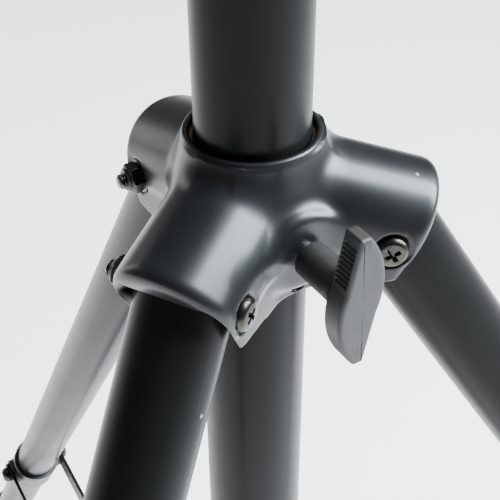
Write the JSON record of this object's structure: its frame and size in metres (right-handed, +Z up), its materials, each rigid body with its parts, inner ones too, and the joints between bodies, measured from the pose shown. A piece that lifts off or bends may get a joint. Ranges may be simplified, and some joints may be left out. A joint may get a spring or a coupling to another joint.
{
  "type": "tripod stand",
  "caption": "Folding tubular tripod stand with a cast leg collar, wing-knob clamps, channel braces and a telescoping pole mast.",
  "frame": {"origin": "on the column axis, at floor level", "axes": "+Z up along the column; +X towards the right leg; the clamping knobs face 300 degrees about +Z"},
  "size_m": [0.8276, 0.9494, 1.3425],
  "materials": {
    "tube_coat": "satin",
    "gloss_casting": "gloss",
    "satin_casting": "satin",
    "moulded_nylon": "satin",
    "guide_nylon": "matte",
    "knob_plastic": "matte",
    "foot_rubber": "matte",
    "dark_steel": "dark zinc, satin",
    "zinc_steel": "bright zinc",
    "pad_nylon": "matte"
  },
  "bodies": {
    "column": {"main_tube": "tube_coat", "tube_end_cap": "moulded_nylon", "lower_hub": "satin_casting", "hub_bolts": "dark_steel", "hub_nuts": "dark_steel", "hub_set_screws": "dark_steel", "clamp_body": "moulded_nylon", "clamp_liner": "guide_nylon", "clamp_rivets": "dark_steel"},
    "mast": {"mast_tube": "tube_coat", "mast_top_cap": "moulded_nylon", "mast_bottom_plug": "guide_nylon"},
    "clamp_pad": {"clamp_pad": "pad_nylon"},
    "clamp_knob": {"clamp_knob": "knob_plastic", "clamp_stud": "zinc_steel"},
    "collar": {"leg_collar": "gloss_casting", "collar_liner": "guide_nylon", "collar_set_screw": "dark_steel", "pivot_bolts": "dark_steel", "pivot_nuts": "dark_steel"},
    "collar_pad": {"collar_pad": "pad_nylon"},
    "collar_knob": {"collar_knob": "knob_plastic", "collar_stud": "zinc_steel"},
    "right_leg": {"right_leg": "tube_coat", "right_leg_plug": "guide_nylon", "right_foot": "foot_rubber", "right_bracket": "moulded_nylon", "right_bush": "zinc_steel"},
    "right_brace": {"right_brace": "tube_coat", "right_rivets": "dark_steel"},
    "rear_leg": {"rear_leg": "tube_coat", "rear_leg_plug": "guide_nylon", "rear_foot": "foot_rubber", "rear_bracket": "moulded_nylon", "rear_bush": "zinc_steel"},
    "rear_brace": {"rear_brace": "tube_coat", "rear_rivets": "dark_steel"},
    "front_leg": {"front_leg": "tube_coat", "front_leg_plug": "guide_nylon", "front_foot": "foot_rubber", "front_bracket": "moulded_nylon", "front_bush": "zinc_steel"},
    "front_brace": {"front_brace": "tube_coat", "front_rivets": "dark_steel"}
  },
  "joints": [
    {"name": "mast_slide", "type": "slide", "parent": "column", "child": "mast", "axis": [0, 0, 1], "range_m": [0, 0.7]},
    {"name": "clamp_pad_travel", "type": "slide", "parent": "column", "child": "clamp_pad", "axis": [0.5, -0.866, 0], "range_m": [0, 0.0025]},
    {"name": "clamp_knob_turn", "type": "hinge", "parent": "clamp_pad", "child": "clamp_knob", "pos_m": [0.0155, -0.02685, 1.188], "axis": [0.5, -0.866, 0], "range_deg": [0, 720]},
    {"name": "collar_slide", "type": "slide", "parent": "column", "child": "collar", "axis": [0, 0, 1], "range_m": [0, 0.3416]},
    {"name": "collar_pad_travel", "type": "slide", "parent": "collar", "child": "collar_pad", "axis": [0.5, -0.866, 0], "range_m": [0, 0.0025]},
    {"name": "collar_knob_turn", "type": "hinge", "parent": "collar_pad", "child": "collar_knob", "pos_m": [0.0155, -0.02685, 0.76069], "axis": [0.5, -0.866, 0], "range_deg": [0, 720]},
    {"name": "right_leg_fold", "type": "hinge", "parent": "collar", "child": "right_leg", "pos_m": [0.0445, 0, 0.75519], "axis": [0, 1, 0], "range_deg": [0, 33.3]},
    {"name": "right_brace_fold", "type": "hinge", "parent": "column", "child": "right_brace", "pos_m": [0.04, 0, 0.16677], "axis": [0, -1, 0], "range_deg": [0, 73.46]},
    {"name": "rear_leg_fold", "type": "hinge", "parent": "collar", "child": "rear_leg", "pos_m": [-0.02225, 0.03854, 0.75519], "axis": [-0.866, -0.5, 0], "range_deg": [0, 33.3]},
    {"name": "rear_brace_fold", "type": "hinge", "parent": "column", "child": "rear_brace", "pos_m": [-0.02, 0.03464, 0.16677], "axis": [0.866, 0.5, 0], "range_deg": [0, 73.46]},
    {"name": "front_leg_fold", "type": "hinge", "parent": "collar", "child": "front_leg", "pos_m": [-0.02225, -0.03854, 0.75519], "axis": [0.866, -0.5, 0], "range_deg": [0, 33.3]},
    {"name": "front_brace_fold", "type": "hinge", "parent": "column", "child": "front_brace", "pos_m": [-0.02, -0.03464, 0.16677], "axis": [-0.866, 0.5, 0], "range_deg": [0, 73.46]}
  ],
  "couplings": [
    {"joint": "right_leg_fold", "follows": "collar_slide", "rad_per_m": 1.6912},
    {"joint": "right_brace_fold", "follows": "collar_slide", "rad_per_m": 3.7381},
    {"joint": "rear_leg_fold", "follows": "collar_slide", "rad_per_m": 1.6912},
    {"joint": "rear_brace_fold", "follows": "collar_slide", "rad_per_m": 3.7381},
    {"joint": "front_leg_fold", "follows": "collar_slide", "rad_per_m": 1.6912},
    {"joint": "front_brace_fold", "follows": "collar_slide", "rad_per_m": 3.7381}
  ]
}
